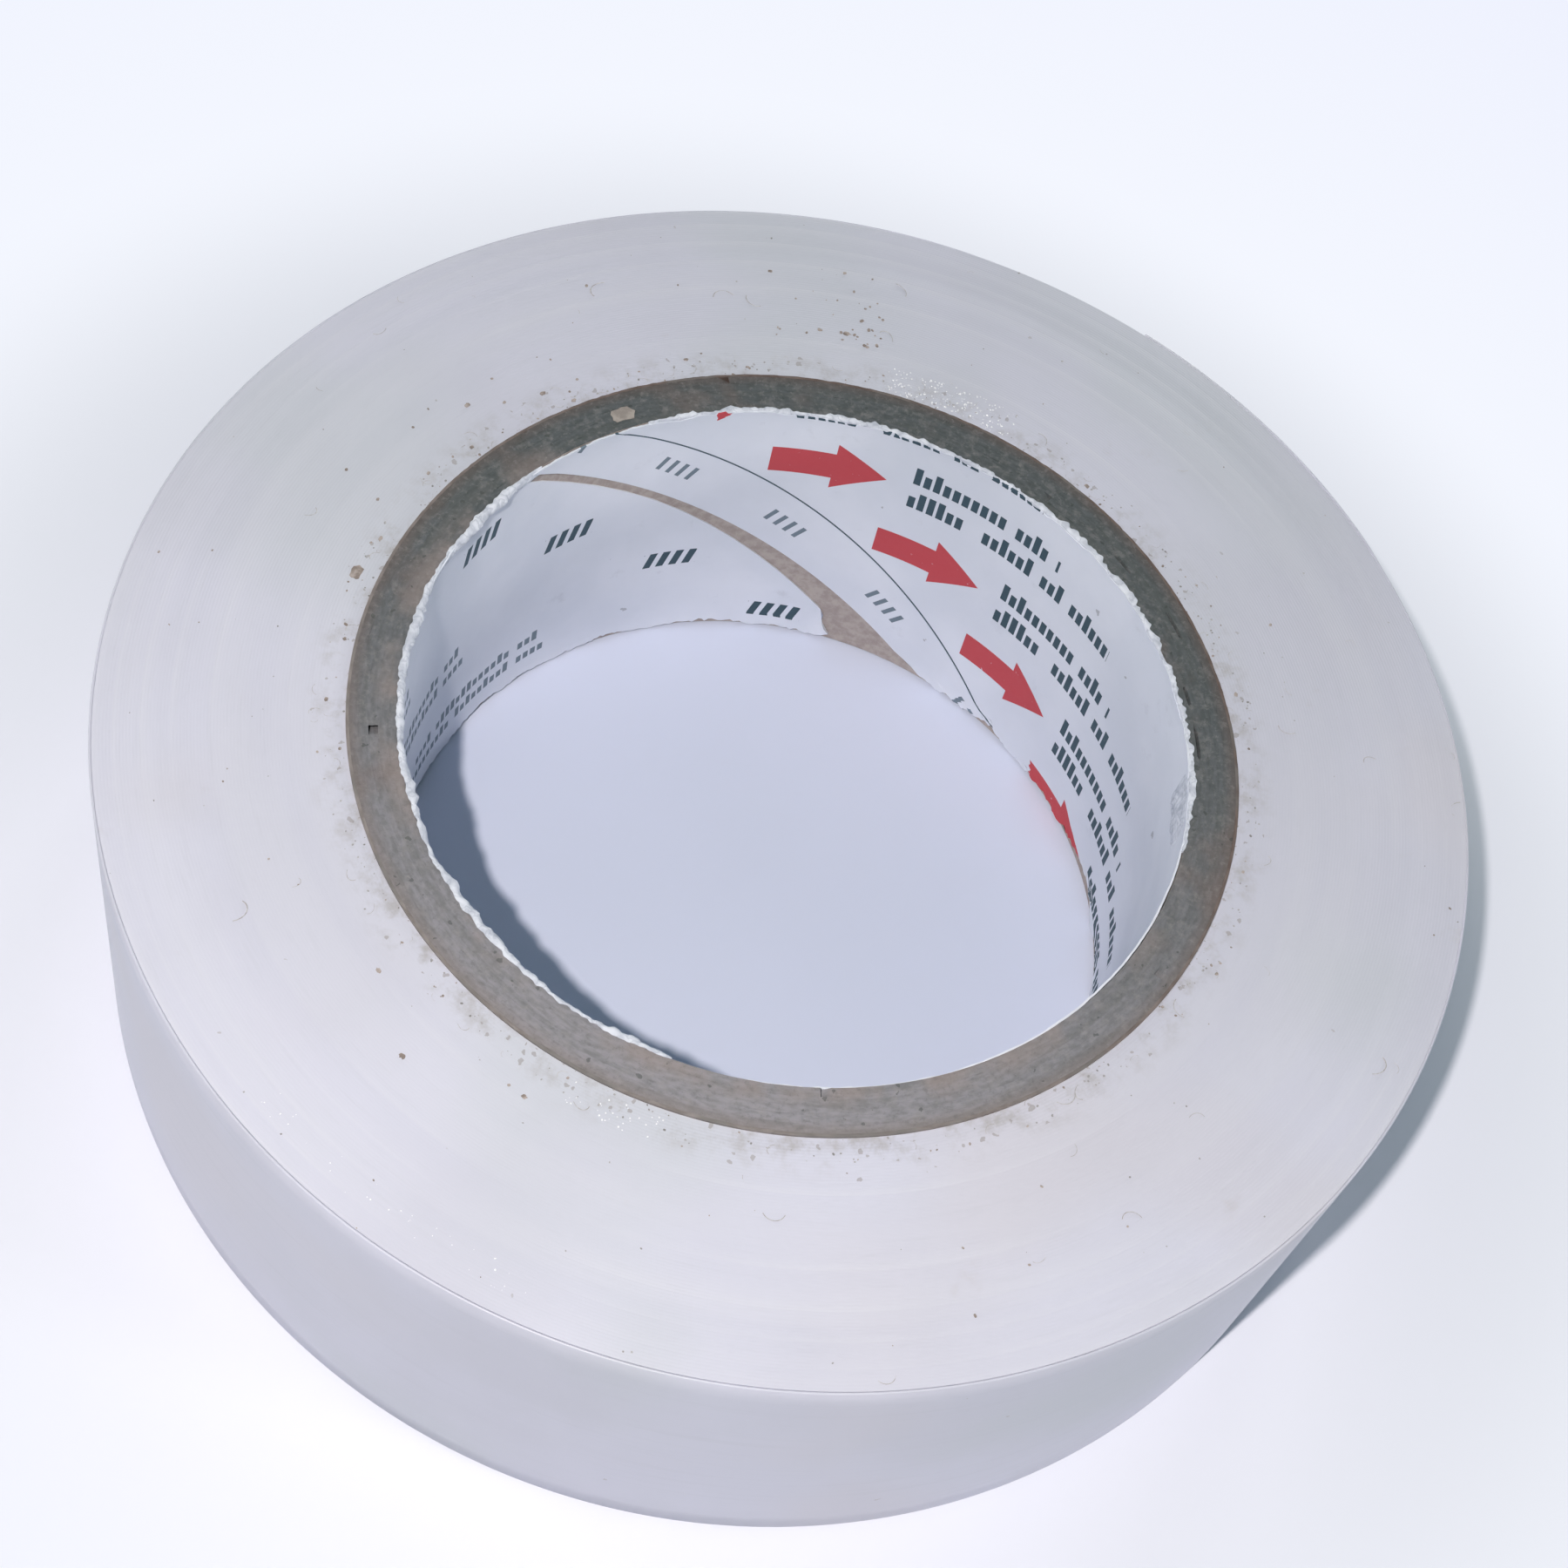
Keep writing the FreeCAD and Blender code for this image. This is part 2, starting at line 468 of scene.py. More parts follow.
def dash_row_mask(g, right, up, low, high, height, pitch, seed):
    """A row of short bars of uneven height, with gaps, from low to high along the row."""
    spot = right / pitch
    draw = {"Vector": g.combine(spot.math("FLOOR"), seed, 0.0)}
    chance = g.wire("ShaderNodeTexWhiteNoise", draw, "Value", noise_dimensions="3D")
    bars = chance.math("GREATER_THAN", 0.11) * spot.math("FRACT").within(0.16, 0.86)
    top = chance.math("GREATER_THAN", 0.66) * (height * 0.32) + height * 0.68
    return bars * (up.within(0.0, top) * right.within(low, high))


def liner_material():
    """White paper with red arrows, rows of dark bars and a thin line, all slanted as the strip is wound."""
    material, g, shader, place = new_material("printed_liner_paper")
    along = g.attribute("strip_along")
    across = g.attribute("strip_across")
    _, _, z = g.split(place)
    cloud = g.noise(place, 160.0, 4.0)
    fibre = g.noise(place, 2600.0, 4.0)
    worn = g.smooth(g.noise(place, 3000.0, 4.0), 0.2, 0.32)
    paper = g.layered(
        g.mix_color(g.smooth(cloud, 0.35, 0.7), (213, 217, 228), (222, 225, 235)),
        (g.smooth(g.noise(place, 420.0, 5.0, 0.7), 0.6, 0.78), 0.3, (176, 178, 188)),
        (specks(g, place, 900.0, 0.05, 0.2), 0.5, (120, 118, 122)),
    )

    right, up = repeated_rows(along, across, PRINT_PHASE, 7.0)
    first_rows = across.within(3.6, 20.0)
    arrows = arrow_mask(right, up) * first_rows * worn
    tall_bars = {"height": 1.3, "pitch": 0.56}
    upper = dash_row_mask(g, right, up - 0.7, 4.5, 13.7, **tall_bars, seed=3.0)
    lower = dash_row_mask(g, right, up + 1.2, 4.5, 18.6, **tall_bars, seed=8.0)
    rows = upper.math("MAXIMUM", lower) * first_rows

    half = TOP / MM / 2
    bow = (z * (1 / MM) - half) / half
    line_at = LINE_ACROSS + LINE_BOW - bow * bow * LINE_BOW
    line = abs(across - line_at).math("LESS_THAN", LINE_HALF_WIDTH)

    tick_along = (along - (PRINT_PHASE + 1.93)).math("WRAP", PRINT_PERIOD / 2, -PRINT_PERIOD / 2)
    ticks = tick_along.within(-1.44, 1.44) * (tick_along / 0.72).math("FRACT").within(0.3, 0.7)
    ticks = ticks * across.within(1.5, 2.5)

    right, up = repeated_rows(along, across, PRINT_PHASE + 4.1, STRIP_WIDTH - 4.1)
    slanted = ((right + up * -0.3) / 0.75).math("FRACT").within(0.22, 0.8)
    slanted = slanted * right.within(-1.5, 1.5) * up.within(-0.62, 0.62)
    slanted = slanted * across.math("GREATER_THAN", STRIP_WIDTH - 6.5)

    right, up = repeated_rows(along, across, PRINT_PHASE + 3.9, STRIP_WIDTH - 15.0)
    small_bars = {"height": 0.85, "pitch": 0.5}
    upper = dash_row_mask(g, right, up - 0.1, -5.5, 5.5, **small_bars, seed=5.0)
    lower = dash_row_mask(g, right, up + 1.2, -6.5, 6.0, **small_bars, seed=6.0)
    fine_rows = upper.math("MAXIMUM", lower) * across.within(STRIP_WIDTH - 21.0, STRIP_WIDTH - 9.0)

    dark = rows.math("MAXIMUM", line).math("MAXIMUM", slanted)
    inked = g.layered(
        paper,
        (dark, worn * 0.26 + 0.72, (48, 72, 84)),
        (ticks.math("MAXIMUM", fine_rows), 0.85, (74, 96, 110)),
        (arrows, 0.95, (190, 50, 58)),
    )
    surface(g, shader, inked, fibre * 0.2 + 0.5, 0.3, fibre * 0.5 + cloud, strength=0.15, depth=0.06)
    return material


def plain_material(name, low, high, scale, roughness=0.9, strength=0.4, specular=0.3):
    """A finish that varies between two colours."""
    material, g, shader, place = new_material(name)
    spread = g.noise(place, scale, 4.0)
    tone = g.mix_color(g.smooth(spread, 0.35, 0.65), low, high)
    surface(g, shader, tone, roughness, specular, spread, strength, depth=0.05)
    return material


def pulp_material():
    """Torn paper: white pulp with fine shaded cracks."""
    material, g, shader, place = new_material("torn_paper_pulp")
    spread = g.noise(place, 1700.0, 4.0)
    veins = abs(g.noise(place, 1500.0, 2.0) - 0.5)
    tone = g.layered(
        g.mix_color(g.smooth(spread, 0.35, 0.65), (190, 194, 206), (218, 221, 231)),
        (g.smooth(veins, 0.035, 0.0), 0.35, (150, 156, 172)),
    )
    surface(g, shader, tone, 0.95, 0.1, g.smooth(veins, 0.0, 0.08), strength=0.4, depth=0.06)
    return material


# ---- meshes


def finish_mesh(piece, material, sharp_angle=35.0):
    """Points the faces outwards, smooths them and gives the piece its only material."""
    mesh = piece.data
    shell = bmesh.new()
    shell.from_mesh(mesh)
    bmesh.ops.recalc_face_normals(shell, faces=shell.faces)
    shell.to_mesh(mesh)
    shell.free()
    mesh.shade_smooth()
    mesh.set_sharp_from_angle(angle=radians(sharp_angle))
    mesh.materials.clear()
    mesh.materials.append(material)


def add_object(name, data):
    made = bpy.data.objects.new(name, data)
    bpy.context.scene.collection.objects.link(made)
    return made


def store(mesh, label, values):
    """Gives each point of a mesh a number that its material can read."""
    made = mesh.attributes.new(label, "FLOAT", "POINT")
    made.data.foreach_set("value", np.asarray(values, np.float32))


def add_piece(name, points, faces, material, sharp_angle=35.0):
    """A piece made of these points and faces, smooth except at its sharp edges."""
    mesh = bpy.data.meshes.new(name)
    mesh.from_pydata(points, [], faces)
    piece = add_object(name, mesh)
    finish_mesh(piece, material, sharp_angle)
    return piece


def tube_faces(columns, rows, ring=False):
    """The faces of a tube with this many points round it: a closed ring, or else capped at its ends."""
    faces = []
    for i in range(columns if ring else columns - 1):
        k = (i + 1) % columns
        for j in range(rows):
            m = (j + 1) % rows
            faces.append((i * rows + j, i * rows + m, k * rows + m, k * rows + j))
    if not ring:
        faces.append(tuple(range(rows)))
        faces.append(tuple((columns - 1) * rows + j for j in reversed(range(rows))))
    return faces


def wave(*place):
    """Smooth noise from -1 to 1."""
    return noise.noise(Vector(place))


def rim_noise(angle, rate, seed):
    """Noise round a rim that joins up with itself."""
    return wave(cos(angle) * rate, sin(angle) * rate, seed)


def eased(share):
    """0 to 1 with a level start and end."""
    return share * share * (3 - 2 * share)


def wound_ply(name, inner, outer, foot, gap_at, section, material, shape, columns):
    """A tube wound as a helix: section lists (share of wall, height) round its closed cross-section.

    gap_at(height) is the angle of the open seam, and shape(angle, psi, wall, radius, height) moves a point.
    Returns the piece and the (psi, height) of its points.
    """
    points = []
    places = []
    for i in range(columns):
        share = i / (columns - 1)
        for wall, height in section:
            psi = share * (TURN - gap_at(height))
            angle = seam_angle(foot, height) - psi
            radius, z = shape(angle, psi, wall, inner + (outer - inner) * wall, height)
            points.append(polar(radius, angle, z))
            places.append((psi, z))
    return add_piece(name, points, tube_faces(columns, len(section)), material), places


def tube_section(end_steps, inner_steps, outer_steps):
    """(share of wall, height) round the core's wall: up the inside, over the top, down the outside, back."""
    return (
        [(0.0, TOP * j / inner_steps) for j in range(inner_steps)]
        + [(j / end_steps, TOP) for j in range(end_steps)]
        + [(1.0, TOP - TOP * j / outer_steps) for j in range(outer_steps)]
        + [(1 - j / end_steps, 0.0) for j in range(end_steps)]
    )


def gap_share(width, radius):
    """The angle across a helical gap of this width at one height."""
    return width * hypot(1, SEAM_TURN_PER_M * radius) / radius


# Liner: its gap widens below TAPER_HEIGHT and opens into a torn corner below TEAR_HEIGHT
LINER_GAP = 0.55 * MM
TAPER_GAP = 1.85 * MM
TEAR_GAP = 3.4 * MM
TAPER_HEIGHT = 13.0 * MM
TEAR_HEIGHT = 2.3 * MM
RIM_REACH = 1.3 * MM


def liner_gap(height):
    """The angle of the liner's open seam at a height."""
    if height > TAPER_HEIGHT:
        width = LINER_GAP
    elif height > TEAR_HEIGHT:
        share = (TAPER_HEIGHT - height) / (TAPER_HEIGHT - TEAR_HEIGHT)
        width = LINER_GAP + (TAPER_GAP - LINER_GAP) * share ** 1.6
    else:
        share = (TEAR_HEIGHT - height) / TEAR_HEIGHT
        width = TAPER_GAP + (TEAR_GAP - TAPER_GAP) * min(1.0, share) ** 0.8
    return gap_share(width, BORE_RADIUS)


def liner_shape(angle, psi, wall, radius, height):
    """Ragged rims, a rim that curls in, and creases by the torn corner."""
    ragged = 0.34 * abs(rim_noise(angle, 11, 1.5)) + 0.16 * abs(rim_noise(angle, 46, 4.5))
    ragged += 0.24 * max(0.0, -sin(angle)) ** 2
    foot_ragged = 1.4 * abs(rim_noise(angle, 7, 7.5)) ** 1.3 + 0.4 * abs(rim_noise(angle, 44, 2.5))
    near_top = max(0.0, 1 - (TOP - height) / RIM_REACH)
    near_bottom = max(0.0, 1 - height / RIM_REACH)
    z = height - near_top * (ragged * MM + SHY)
    z += near_bottom * (foot_ragged * MM + SHY)
    curl = 0.08 * MM * near_top ** 2 * (0.6 + 0.4 * rim_noise(angle, 24, 3.0))
    curl += 0.10 * MM * near_bottom ** 2 * (0.5 + 0.5 * rim_noise(angle, 18, 6.0))
    from_edge = (TURN - liner_gap(height) - psi) * BORE_RADIUS
    near_corner = exp(-((from_edge / (3.4 * MM)) ** 2) - (height / (2.4 * MM)) ** 2)
    folds = 0.5 + 0.5 * sin(from_edge / (0.34 * MM) + height / (0.45 * MM))
    return radius - curl - 0.06 * MM * near_corner * folds, z


def strip_place(psi, z):
    """How far a point of the liner lies along and across its strip, in millimetres."""
    arc = BORE_RADIUS * psi
    along = STRIP_ALONG_X * (arc - LEAD * z) - STRIP_ALONG_Z * z
    return along / MM, STRIP_ALONG_Z * arc / MM


def build_liner(material):
    name = "paper_liner_torn"
    section = tube_section(end_steps=2, inner_steps=44, outer_steps=14)
    piece, places = wound_ply(
        name, BORE_RADIUS, LINER_OUTER, SEAM_FOOT, liner_gap, section, material, liner_shape, columns=620
    )
    strip = [strip_place(psi, z) for psi, z in places]
    store(piece.data, "strip_along", [along for along, _ in strip])
    store(piece.data, "strip_across", [across for _, across in strip])
    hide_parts("paper_liner")
    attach(piece, "roll")


BOARD_GAP = 0.30 * MM
BOARD_STAGGER = radians(137.0)
BOARD_PLY_THICKNESS = 0.44 * MM
BOARD_END_REACH = 0.5 * MM

# Short slits between the plies: (radius in mm, angle in degrees, half length in degrees)
SLITS = ((19.59, 16.0, 2.2), (20.47, 36.0, 1.8), (20.03, 48.0, 1.4), (19.59, 24.0, 1.2))


def fibre_depth(angle, radius, seed):
    """How far the cut end of the board lies below flat."""
    x, y, _ = polar(1.0, angle, 0.0)
    depth = 0.03 * abs(wave(x * 40, y * 40, radius / MM * 5 + seed))
    depth += 0.02 * abs(wave(x * 120, y * 120, radius / MM * 9 + seed))
    pit = wave(x * 30, y * 30, radius / MM * 3.5 - seed)
    return (depth + 0.12 * max(0.0, pit - 0.5)) * MM


def slit_depth(angle, radius):
    """How deep an open slit between two plies is here."""
    depth = 0.0
    for slit_radius, middle, half in SLITS:
        if abs(radius - slit_radius * MM) < 0.05 * MM:
            off = (angle - radians(middle) + pi) % TURN - pi
            depth += 0.4 * MM * exp(-((off / radians(half)) ** 4))
    return depth


def board_shape_for(number):
    """Moves the ends of a ply: fibres stand up, pits sink, and the plies part along thin lines."""

    def shape(angle, psi, wall, radius, height):
        if min(height, TOP - height) > BOARD_END_REACH:
            return radius, height
        sunk = fibre_depth(angle, radius, 3.0 * number)
        if wall in (0.0, 1.0):
            part = max(0.0, rim_noise(angle, 14, 20.0 + round(radius / MM, 2)) - 0.62)
            sunk += 0.02 * MM * (0.6 + 0.4 * rim_noise(angle, 40, number + radius / MM))
            sunk += 0.6 * MM * part + slit_depth(angle, radius)
        sunk = min(sunk, BOARD_END_REACH) + SHY
        return radius, height - sunk if height > TOP / 2 else height + sunk

    return shape


def build_board(material):
    """The five plies. Returns their outside radius."""
    section = tube_section(end_steps=5, inner_steps=14, outer_steps=14)
    foot = SEAM_FOOT
    inner = LINER_OUTER
    for number, node in enumerate(PLY_NODES):
        foot += BOARD_STAGGER
        outer = inner + BOARD_PLY_THICKNESS

        def board_gap(height, radius=inner):
            return gap_share(BOARD_GAP, radius)

        name = f"{node}_fibrous"
        shape = board_shape_for(number)
        piece, _ = wound_ply(name, inner, outer, foot, board_gap, section, material, shape, columns=560)
        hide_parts(node)
        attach(piece, "roll")
        inner = outer
    return inner


def build_cover_paper(material, inner):
    """A closed ring round the board, a little uneven at both ends."""
    columns = 560
    middle = (inner + CORE_RADIUS) / 2
    section = [(inner, 0.0), (inner, TOP), (middle, TOP), (CORE_RADIUS, TOP), (CORE_RADIUS, 0.0)]
    points = []
    for i in range(columns):
        angle = TURN * i / columns
        sunk = SHY + 0.08 * MM * abs(rim_noise(angle, 90, 2.0)) + 0.06 * MM * abs(rim_noise(angle, 30, 5.0))
        points += [polar(radius, angle, z - sunk if z > TOP / 2 else z + sunk) for radius, z in section]
    piece = add_piece("core_cover_kraft", points, tube_faces(columns, len(section), ring=True), material)
    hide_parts("core_cover_paper")
    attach(piece, "roll")


# ---- the winding, made by Geometry Nodes

GROOVE = 0.008 * MM
STEP_EASE = 0.85 * MM
WOBBLE = 0.012 * MM
LIP_WIDTH = 0.28 * MM
SEGMENTS = 288


def new_geometry_tree(name, numbers, counts):
    """A tree that makes a dressed mesh from numbers, counts and a material."""
    inputs = of_kind("Float", *numbers) + of_kind("Int", *counts) + of_kind("Material", "Material")
    return new_tree(name, "GeometryNodeTree", inputs, of_kind("Geometry", "Geometry"))


def end_tree(g, given, end, geometry):
    """Ends a tree: real geometry in the given material."""
    real = g.wire("GeometryNodeRealizeInstances", {"Geometry": geometry})
    dressed = g.wire("GeometryNodeSetMaterial", {"Geometry": real, "Material": given["Material"]})
    g.feed(end["Geometry"], dressed)


def winding_tree():
    """A ring of wound turns: a grid bent round the axis, whose rows run over each turn's edge."""
    numbers = ("Inner Radius", "Outer Radius", "Bottom", "Top", "Inner Step", "Outer Step", "Seed")
    tree, g, given, end = new_geometry_tree("wound_turns", numbers, ("Turns",))
    inner, outer = given["Inner Radius"], given["Outer Radius"]
    top_rows = given["Turns"] * 4.0
    loop = top_rows + 3.0
    size = {"Size X": 1.0, "Size Y": 1.0, "Vertices X": SEGMENTS + 1, "Vertices Y": loop + 1.0}
    grid = g.wire("GeometryNodeMeshGrid", size, "Mesh")
    x, y, _ = g.split(g.wire("GeometryNodeInputPosition"))
    angle = (x + 0.5) * TURN
    row = ((y + 0.5) * loop).math("ROUND").math("MODULO", loop)
    on_top = row.math("LESS_THAN", top_rows + 0.5)
    out_bottom = row.math("COMPARE", top_rows + 1.0, 0.5)
    radius = inner + (outer - inner) * (on_top * (row / top_rows) + out_bottom)
    east, north = angle.math("COSINE"), angle.math("SINE")
    dip = ((row * (pi / 2)).math("COSINE") + 1.0) * (GROOVE * 0.5)
    place = g.combine(radius * 900.0 + given["Seed"], east * 0.8, north * 0.8)
    uneven = g.noise(place, 1.0, 2.0) * WOBBLE
    inner_step = g.smooth(radius - inner, STEP_EASE, 0.0) * given["Inner Step"]
    outer_step = g.smooth(outer - radius, STEP_EASE, 0.0) * given["Outer Step"]
    high = given["Top"] + (inner_step + outer_step) - dip - uneven
    heights = {"Factor": on_top, "A": given["Bottom"], "B": high}
    height = g.wire("ShaderNodeMix", heights, "Result", data_type="FLOAT")
    position = g.combine(radius * east, radius * north, height)
    bent = g.wire("GeometryNodeSetPosition", {"Geometry": grid, "Position": position})
    joined = g.wire("GeometryNodeMergeByDistance", {"Geometry": bent, "Distance": 0.001 * MM})
    end_tree(g, given, end, joined)
    return tree


def grow(name, tree, values):
    """Runs a tree with these inputs and keeps the result as a plain mesh."""
    piece = add_object(name, bpy.data.meshes.new(f"{name}_seed"))
    modifier = piece.modifiers.new("grow", "NODES")
    modifier.node_group = tree
    for item in tree.interface.items_tree:
        if item.in_out == "INPUT":
            modifier[item.identifier] = values[item.name]
    piece.update_tag()
    graph = bpy.context.evaluated_depsgraph_get()
    mesh = bpy.data.meshes.new_from_object(piece.evaluated_get(graph))
    piece.modifiers.clear()
    piece.data = mesh
    mesh.name = name
    return piece


def mark_lip(mesh, outer):
    """Stores how near each point is to its band's outer edge, where a lighter tone is painted on as a
    highlight.
    """
    places = np.empty(len(mesh.vertices) * 3, np.float32)
    mesh.vertices.foreach_get("co", places)
    radius = np.hypot(places[0::3], places[1::3])
    store(mesh, "lip", np.exp(-(((outer - radius) / LIP_WIDTH) ** 2)))


def build_winding(material):
    """One ring for each band of turns. Returns (inner radius, outer radius, top) of each."""
    tree = winding_tree()
    bands = []
    inner = CORE_RADIUS
    tops = [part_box(node)[1].z - SHY for node in BAND_NODES]
    for number, (node, turns, top) in enumerate(zip(BAND_NODES, TURNS_PER_BAND, tops)):
        outer = inner + turns * TAPE_THICKNESS
        values = {
            "Inner Radius": inner,
            "Outer Radius": outer,
            "Bottom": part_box(node)[0].z,
            "Top": top,
            "Inner Step": (tops[max(number - 1, 0)] - top) / 2,
            "Outer Step": (tops[min(number + 1, len(tops) - 1)] - top) / 2,
            "Turns": turns,
            "Seed": 10.0 * number,
            "Material": material,
        }
        piece = grow(f"{node}_wound", tree, values)
        mark_lip(piece.data, outer)
        finish_mesh(piece, material)
        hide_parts(node)
        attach(piece, "roll")
        bands.append((inner, outer, top))
        inner = outer
    return bands


# ---- last turn and free end

END_LIFT = 0.08 * MM
END_SWELL = 0.012 * MM
OUTER_END = WINDING_RADIUS + END_LIFT + TAPE_THICKNESS
BARE_LENGTH = 2.0 * MM
STRIP_EDGE = 0.035 * MM
BEND_REACH = radians(3.2)
RISE_REACH = radians(24.0)


def strip_piece(name, start, stop, material, lift_at, columns):
    """A stretch of the strip round the roll, with soft edges, a little uneven where it is lifted."""
    low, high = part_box("tape_last_turn")
    bottom, top = low.z, high.z - SHY / 2
    steps = 12
    tall = top - bottom - 2 * STRIP_EDGE
    inside = [(0.0, bottom + STRIP_EDGE + tall * j / steps) for j in range(steps + 1)]
    outside = [(1.0, z) for _, z in reversed(inside)]
    section = inside + [(0.3, top), (0.7, top)] + outside + [(0.7, bottom), (0.3, bottom)]
    points = []
    for i in range(columns):
        angle = start + (stop - start) * i / (columns - 1)
        lift = lift_at(angle)
        uneven = END_SWELL * max(0.0, lift / END_LIFT)
        for wall, height in section:
            swell = uneven * wave(angle * 9, height / MM * 0.2, 5.0)
            points.append(polar(WINDING_RADIUS + lift + STRIP_THICKNESS * wall + swell, angle, height))
    return add_piece(name, points, tube_faces(columns, len(section)), material, sharp_angle=50.0)


def hinge_angle(joint):
    """The angle round the roll at which a joint of the free end sits."""
    place = next(j["pos_m"] for j in frame["joints"] if j["name"] == joint)
    return atan2(place[1], place[0])


def on_strip(angle):
    """A point on the outside of the free end, halfway up."""
    return polar(OUTER_END, angle, TOP / 2)


def build_last_turn(material):
    """The outermost turn, and the free end in three lengths, each reaching across one joint."""
    hinges = [hinge_angle(name) for name in ("tape_end_peel", "tape_end_middle_curl", "tape_end_tip_curl")]
    tip = hinges[2] + hinges[1] - hinges[0]
    start = tip + BARE_LENGTH / OUTER_END
    run_up = hinges[0] - BEND_REACH * 1.4

    def rise_at(angle):
        return -TAPE_THICKNESS * (1 - eased(min(1.0, (angle - start) / RISE_REACH)))

    turn = strip_piece("tape_last_turn_strip", start, run_up + TURN, material, rise_at, columns=420)
    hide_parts("tape_last_turn")
    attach(turn, "roll")

    def lift_at(angle):
        return END_LIFT * eased(min(1.0, max(0.0, (angle - run_up) / (hinges[0] - run_up))))

    nodes = ["tape_end_root", "tape_end_middle", "tape_end_tip"]
    cuts = [run_up] + [hinge - BEND_REACH * 0.75 for hinge in hinges[1:]] + [tip]
    reach = BEND_REACH * 0.7
    for number, node in enumerate(nodes):
        low, high = cuts[number], cuts[number + 1]
        piece = strip_piece(f"{node}_strip", low, high, material, lift_at, columns=44)
        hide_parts(node)
        before, after = on_strip(hinges[number] - reach), on_strip(hinges[number] + reach)
        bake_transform(piece)
        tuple(before)
        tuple(after)


# ---- torn edges, chips and dust


def torn_edge(name, material, *, start, stop, reach, over, droop, seed, columns):
    """A soft, lumpy roll of torn paper along the liner's rim, partly over the board.

    It lies between start and stop in degrees, and reaches in, over the board and down in millimetres.
    """
    start, stop = radians(start), radians(stop)
    points = []
    across = 9
    for i in range(columns):
        share = i / (columns - 1)
        angle = start + (stop - start) * share
        fade = min(1.0, share * 14, (1 - share) * 14) ** 0.5
        swell = 0.74 + 0.45 * rim_noise(angle, 13, seed) + 0.34 * rim_noise(angle, 38, seed + 3)
        swell += 0.16 * rim_noise(angle, 90, seed + 7)
        patchy = min(1.2, max(0.25, 0.8 + 1.1 * rim_noise(angle, 4.2, seed + 1)))
        widened = 0.45 + 0.55 * min(1.0, 2.5 * share)
        inner = BORE_RADIUS - reach * MM * widened * fade * patchy * max(0.15, swell)
        spread = 0.25 + 0.8 * rim_noise(angle, 20, seed + 9) + 0.5 * rim_noise(angle, 64, seed + 4)
        outer = LINER_OUTER + fade * max(-0.04 * MM, over * MM * spread)
        for j in range(across + 1):
            inward = j / across
            lump = 0.5 + 0.5 * rim_noise(angle, 46, seed + 2.3 * inward)
            crown = sin(pi * min(1.0, 0.2 + 0.8 * inward))
            sunk = 0.01 + 0.08 * (1 - crown) * lump + droop * inward ** 3
            points.append(polar(outer + (inner - outer) * inward, angle, TOP - sunk * MM))
        for j in range(across, -1, -1):
            inward = j / across
            sunk = 0.2 + droop * inward ** 3 + 0.05 * rim_noise(angle, 46, seed + 5)
            points.append(polar(outer + (inner - outer) * inward * 0.9, angle, TOP - sunk * MM))
    piece = add_piece(name, points, tube_faces(columns, 2 * (across + 1)), material, sharp_angle=70.0)
    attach(piece, "roll")


def build_torn_edges(pulp):
    """A torn fringe at the left and in front, a thin fray at the right and behind, and a loose tuft."""
    left = {"start": 147, "stop": 266, "reach": 0.46, "over": 0.18, "droop": 0.3}
    back = {"start": -3, "stop": 128, "reach": 0.05, "over": 0.34, "droop": 0.1}
    right = {"start": 2.5, "stop": 12, "reach": 0.5, "over": 0.18, "droop": 2.6}
    torn_edge("torn_liner_edge", pulp, **left, seed=2.0, columns=900)
    torn_edge("frayed_liner_rim", pulp, **back, seed=17.0, columns=1100)
    torn_edge("torn_liner_blob", pulp, **right, seed=31.0, columns=110)


def chips(name, entries, material):
    """Thin chips that lie on the end face: (radius, angle, length, width, height, thickness) of each."""
    corners = 14
    points, faces = [], []
    for number, (radius, angle, length, width, height, thickness) in enumerate(entries):
        first = len(points)
        ring = []
        for i in range(corners):
            turn = TURN * i / corners
            wobble = 1 + 0.55 * wave(cos(turn) * 2.3, sin(turn) * 2.3, 5.3 * number + 4)
            r = radius + width / 2 * sin(turn) * wobble
            ring.append(polar(r, angle + length / 2 * cos(turn) * wobble / radius, 0.0))
        points += [(x, y, height + thickness * 0.25 * wave(x / MM, y / MM, 4.0)) for x, y, _ in ring]
        points += [(x, y, height - thickness) for x, y, _ in ring]
        faces.append(tuple(range(first, first + corners)))
        faces.append(tuple(reversed(range(first + corners, first + 2 * corners))))
        for i in range(corners):
            k = (i + 1) % corners
            faces.append((first + i, first + corners + i, first + corners + k, first + k))
    piece = add_piece(name, points, faces, material)
    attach(piece, "roll")


# Larger specks on the vinyl: (radius in mm, angle in degrees, size in mm)
LARGE_SPECKS = (
    (22.6, 177, 0.80), (22.3, 152, 0.24), (22.7, 159, 0.20), (23.5, 144, 0.20), (22.0, 187, 0.22),
    (22.4, 196, 0.26), (22.8, 119, 0.24), (22.1, 111, 0.20), (23.7, 166, 0.22), (21.9, 136, 0.26),
    (24.4, 148, 0.32), (23.0, 139, 0.34), (22.4, 171, 0.28), (28.7, 107, 0.24), (29.2, 99, 0.20),
    (25.0, 98, 0.36), (24.2, 41, 0.24), (22.1, 61, 0.30), (22.2, 24, 0.26), (24.0, -128, 0.30),
    (25.8, -119, 0.32), (23.8, -107, 0.28),
)
SPECK_THICKNESS = 0.05 * MM


